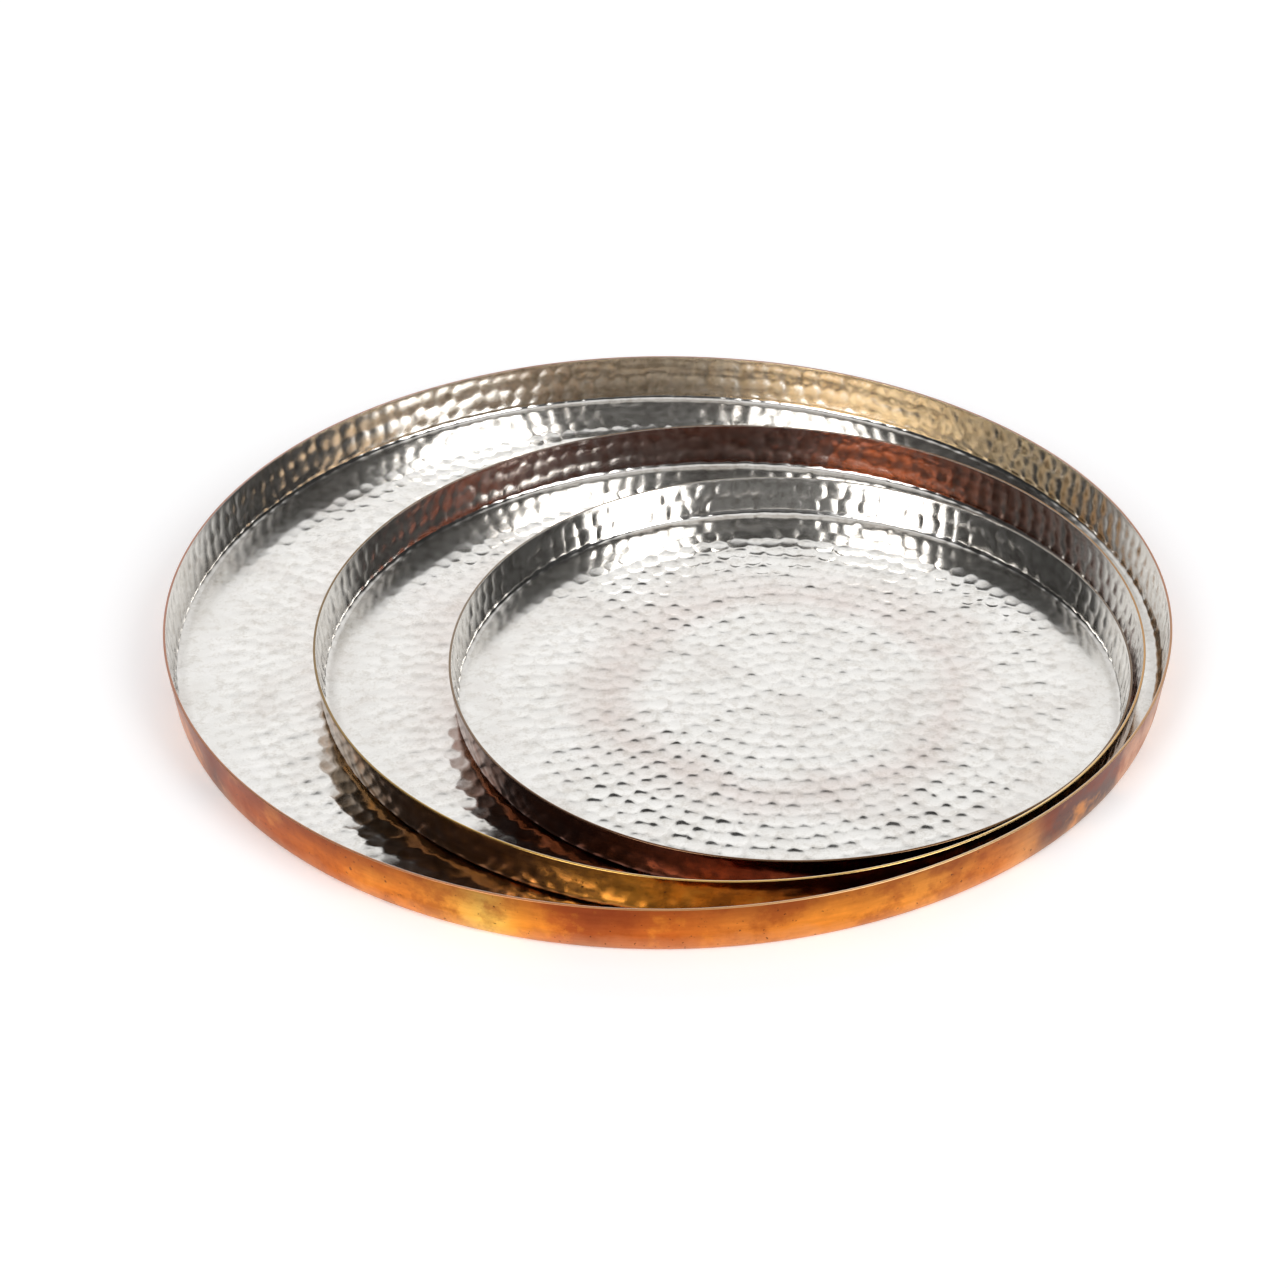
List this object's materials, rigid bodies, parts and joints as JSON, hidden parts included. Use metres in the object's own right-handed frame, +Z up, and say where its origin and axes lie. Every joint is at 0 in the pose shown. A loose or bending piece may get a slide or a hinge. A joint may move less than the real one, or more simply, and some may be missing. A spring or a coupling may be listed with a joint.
{
  "type": "nesting hammered copper tray set",
  "caption": "Round, low-walled copper trays with hammered, tinned insides, standing one in another and lifting out.",
  "frame": {"origin": "centre of the large tray's underside, on the surface that the nest stands on", "axes": "+Z up through the large tray's axis; -Y to the front; +X to the right, the side that the two inner trays are pushed towards"},
  "size_m": [0.46, 0.46, 0.024],
  "materials": {
    "large_copper": "copper, satin, heat-tinted from orange to pink and brown",
    "medium_copper": "copper, glossy, darkened to olive brown",
    "small_copper": "copper, glossy, darkened to deep red brown",
    "tin": "hand-wiped tin, bright, planished with overlapping hammer marks"
  },
  "bodies": {
    "large_tray": {"large_copper_body": "large_copper", "large_tin_lining": "tin"},
    "medium_tray": {"medium_copper_body": "medium_copper", "medium_tin_lining": "tin"},
    "small_tray": {"small_copper_body": "small_copper", "small_tin_lining": "tin"}
  },
  "joints": [
    {"name": "medium_tray_lift", "type": "slide", "parent": "large_tray", "child": "medium_tray", "axis": [0, 0, 1], "range_m": [0, 0.08]},
    {"name": "small_tray_lift", "type": "slide", "parent": "medium_tray", "child": "small_tray", "axis": [0, 0, 1], "range_m": [0, 0.08]}
  ]
}
